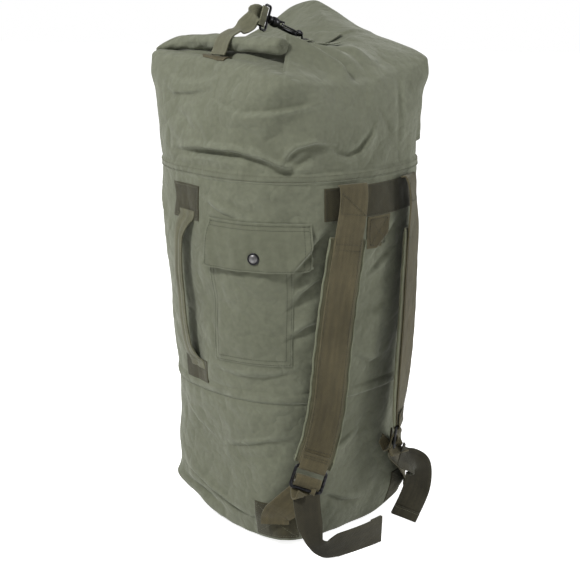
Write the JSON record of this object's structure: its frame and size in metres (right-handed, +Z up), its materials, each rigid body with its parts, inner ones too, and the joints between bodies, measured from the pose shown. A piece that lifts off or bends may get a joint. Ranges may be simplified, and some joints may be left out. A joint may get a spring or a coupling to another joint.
{
  "type": "duffel bag",
  "caption": "Tall top-loading canvas duffel, packed and closed by a roll-over strap with a snap hook; front pocket with snap flap, side handle and padded shoulder straps.",
  "frame": {"origin": "centre of the flat base, where the bag stands on the floor", "axes": "+Z up along the bag; -Y is the side the pocket faces; the shoulder straps hang on the side towards +X"},
  "size_m": [0.3784, 0.3867, 0.7154],
  "materials": {
    "canvas": "matte",
    "pad_canvas": "matte",
    "webbing": "matte",
    "dark_webbing": "matte",
    "black_metal": "satin black",
    "grey_metal": "satin grey"
  },
  "bodies": {
    "bag": {"base_panel": "canvas", "lower_panel": "canvas", "middle_panel": "canvas", "upper_panel": "canvas", "pocket_panel": "canvas", "flap_seam_strip": "canvas", "snap_stud": "black_metal", "snap_post": "black_metal", "handle_patch_upper": "dark_webbing", "handle_patch_lower": "dark_webbing", "strap_anchor_band": "dark_webbing", "strap_reinforcement": "webbing", "base_anchor_left": "dark_webbing", "base_anchor_right": "dark_webbing", "rolled_hem": "canvas", "closing_strap_patch": "dark_webbing", "closing_strap_wrap": "webbing", "rim_tab_right": "canvas", "grommet_right": "black_metal", "rim_tab_back": "canvas", "grommet_back": "black_metal", "rim_tab_left": "canvas", "grommet_left": "black_metal", "staple": "black_metal"},
    "flap": {"pocket_flap": "canvas", "snap_cap": "grey_metal", "snap_socket": "black_metal"},
    "handle": {"handle_grip": "webbing"},
    "closing_strap": {"closing_strap": "webbing", "hook_eye": "black_metal"},
    "snap_hook": {"hook_body": "black_metal", "gate_pin": "black_metal"},
    "hook_gate": {"hook_gate": "black_metal"},
    "left_strap": {"strap_webbing_left": "webbing", "shoulder_pad_left": "pad_canvas", "buckle_frame_left": "black_metal", "lower_webbing_left": "webbing"},
    "left_slide_bar": {"buckle_bar_left": "black_metal"},
    "left_tail": {"strap_tail_left": "dark_webbing"},
    "right_strap": {"strap_webbing_right": "webbing", "shoulder_pad_right": "pad_canvas", "buckle_frame_right": "black_metal", "lower_webbing_right": "webbing"},
    "right_slide_bar": {"buckle_bar_right": "black_metal"},
    "right_tail": {"strap_tail_right": "dark_webbing"}
  },
  "joints": [
    {"name": "flap_lift", "type": "hinge", "parent": "bag", "child": "flap", "pos_m": [0, -0.17252, 0.444], "axis": [-1, 0, 0], "range_deg": [0, 105]},
    {"name": "handle_swing", "type": "hinge", "parent": "bag", "child": "handle", "pos_m": [-0.11359, -0.13067, 0.439], "axis": [-0.0431, -0.0496, 0.9978], "range_deg": [-30, 30]},
    {"name": "closing_strap_sway", "type": "hinge", "parent": "bag", "child": "closing_strap", "pos_m": [-0.04757, -0.07971, 0.6832], "axis": [0.7005, 0.7052, -0.1096], "range_deg": [-6, 6]},
    {"name": "hook_swivel", "type": "hinge", "parent": "closing_strap", "child": "snap_hook", "pos_m": [-0.00924, -0.05922, 0.69315], "axis": [0.4689, 0.8039, -0.3659], "range_deg": [-12, 12]},
    {"name": "gate_spring", "type": "hinge", "parent": "snap_hook", "child": "hook_gate", "pos_m": [0.00386, -0.05026, 0.68751], "axis": [0.1843, 0.316, 0.9307], "range_deg": [0, 18], "stiffness_Nm_per_rad": 0.02, "springref_deg": -17.19},
    {"name": "left_strap_swing", "type": "hinge", "parent": "bag", "child": "left_strap", "pos_m": [0.1142, -0.12683, 0.502], "axis": [0.1973, 0.0789, 0.9772], "range_deg": [-8, 1.5]},
    {"name": "left_bar_slide", "type": "slide", "parent": "left_strap", "child": "left_slide_bar", "axis": [0.2585, 0.2695, 0.9277], "range_m": [0, 0.005]},
    {"name": "left_tail_sweep", "type": "hinge", "parent": "left_strap", "child": "left_tail", "pos_m": [0.06676, -0.17467, 0.09249], "axis": [0, 0, -1], "range_deg": [0, 42]},
    {"name": "right_strap_swing", "type": "hinge", "parent": "bag", "child": "right_strap", "pos_m": [0.16822, -0.03576, 0.502], "axis": [0.0116, -0.1412, 0.9899], "range_deg": [-2, 6.5]},
    {"name": "right_bar_slide", "type": "slide", "parent": "right_strap", "child": "right_slide_bar", "axis": [0.0906, 0.0368, 0.9952], "range_m": [0, 0.005]},
    {"name": "right_tail_lift", "type": "hinge", "parent": "right_strap", "child": "right_tail", "pos_m": [0.1689, -0.05245, 0.12219], "axis": [0.0553, -0.998, 0.0319], "range_deg": [0, 50]}
  ]
}
